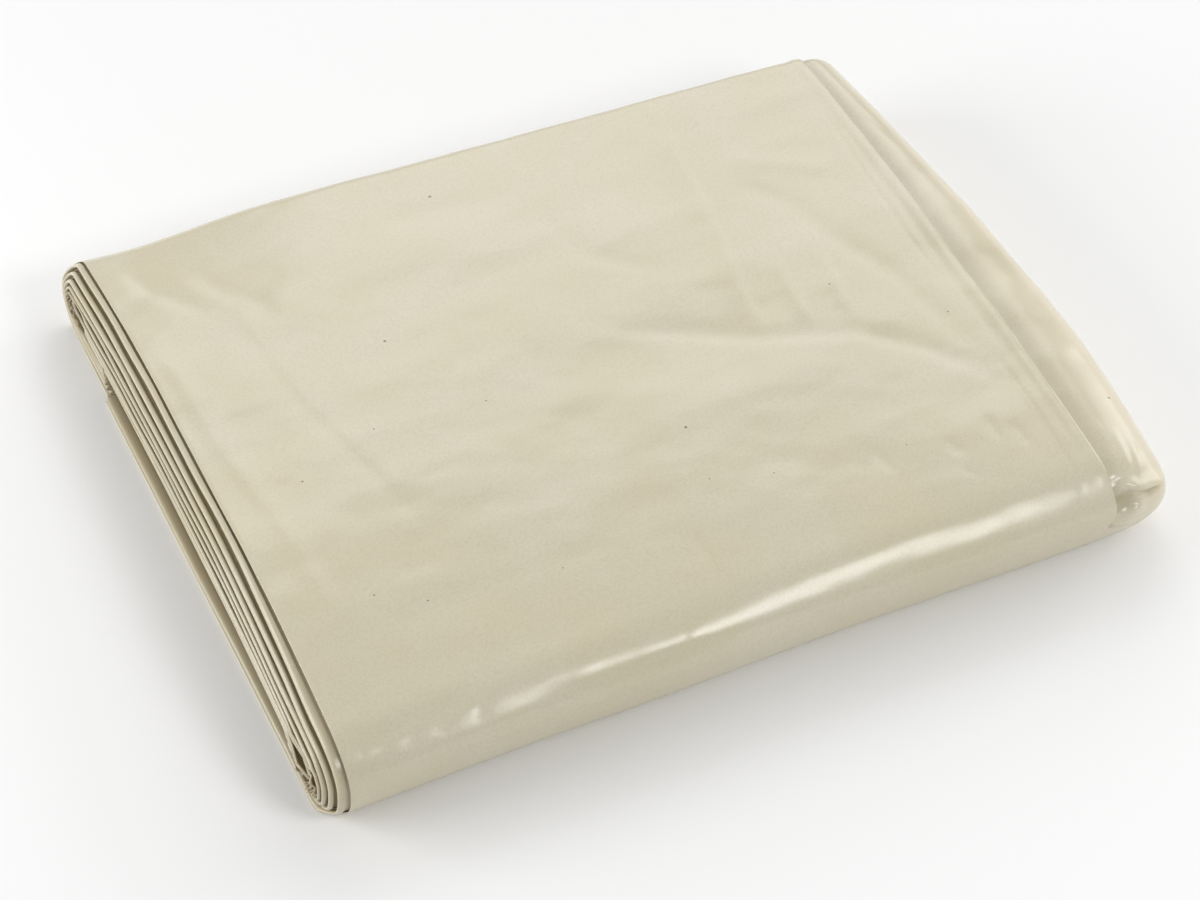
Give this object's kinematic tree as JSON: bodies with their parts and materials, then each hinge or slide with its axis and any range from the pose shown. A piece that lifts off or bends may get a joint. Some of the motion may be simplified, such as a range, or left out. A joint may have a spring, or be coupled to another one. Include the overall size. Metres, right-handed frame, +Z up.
{
  "type": "folded tarp",
  "caption": "Large film tarp folded into a band and wound flat, with rounded long sides, stepped layer lips at one end and a puffed, shut fold at the other.",
  "frame": {"origin": "centre of the pack's footprint box, on the surface that it lies on", "axes": "+X along the rounded folds, from the layer lips towards the shut end; +Y from the near fold to the far one; +Z up"},
  "size_m": [0.3752, 0.3144, 0.052],
  "materials": {
    "cream_film": "satin, slightly translucent film"
  },
  "bodies": {
    "root": {"folded_sheet": "cream_film"}
  },
  "joints": []
}
